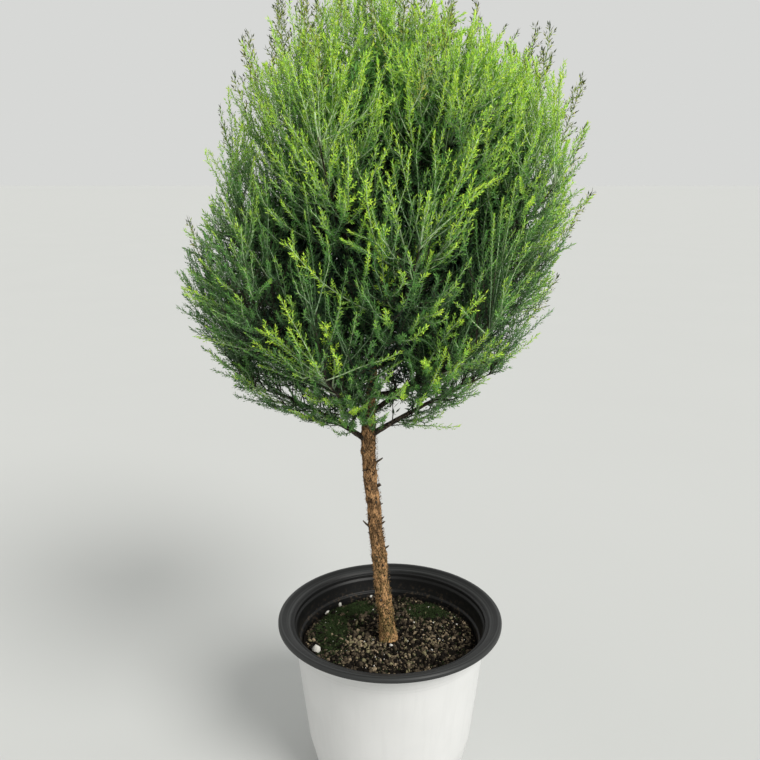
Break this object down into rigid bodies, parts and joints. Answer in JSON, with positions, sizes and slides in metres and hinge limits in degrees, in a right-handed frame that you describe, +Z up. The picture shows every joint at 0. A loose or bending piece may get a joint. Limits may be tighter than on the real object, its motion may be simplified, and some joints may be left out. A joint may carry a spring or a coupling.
{
  "type": "potted conifer",
  "caption": "Small cypress grown as a standard: a bare leaning stem with a feathery upright crown of fine needles, in a round nursery pot with a wide rim, filled with soil.",
  "frame": {"origin": "middle of the pot's flat underside, on the surface that the pot stands on", "axes": "+Z up along the pot's axis; the stem leans towards -X, and -Y is the side seen from the front"},
  "size_m": [0.2646, 0.2541, 0.558],
  "materials": {
    "white_plastic": "satin",
    "black_plastic": "satin",
    "potting_soil": "matte",
    "bark": "matte",
    "needles": "matte"
  },
  "bodies": {
    "root": {"pot_wall": "white_plastic", "pot_liner": "black_plastic", "soil": "potting_soil", "trunk": "bark", "bough_01": "bark", "bough_02": "bark", "bough_03": "bark", "bough_04": "bark", "bough_05": "bark", "bough_06": "bark", "bough_07": "bark", "bough_08": "bark", "bough_09": "bark", "bough_10": "bark", "bough_11": "bark", "bough_12": "bark", "bough_13": "bark", "bough_14": "bark", "bough_15": "bark", "bough_16": "bark", "bough_17": "bark", "bough_18": "bark", "bough_19": "bark", "bough_20": "bark", "bough_21": "bark", "bough_22": "bark", "foliage_01": "needles", "foliage_02": "needles", "foliage_03": "needles", "foliage_04": "needles", "foliage_05": "needles", "foliage_06": "needles", "foliage_07": "needles", "foliage_08": "needles", "foliage_09": "needles", "foliage_10": "needles", "foliage_11": "needles", "foliage_12": "needles", "foliage_13": "needles", "foliage_14": "needles", "foliage_15": "needles", "foliage_16": "needles", "foliage_17": "needles", "foliage_18": "needles", "foliage_19": "needles", "foliage_20": "needles", "foliage_21": "needles", "foliage_22": "needles", "foliage_23": "needles"}
  },
  "joints": []
}
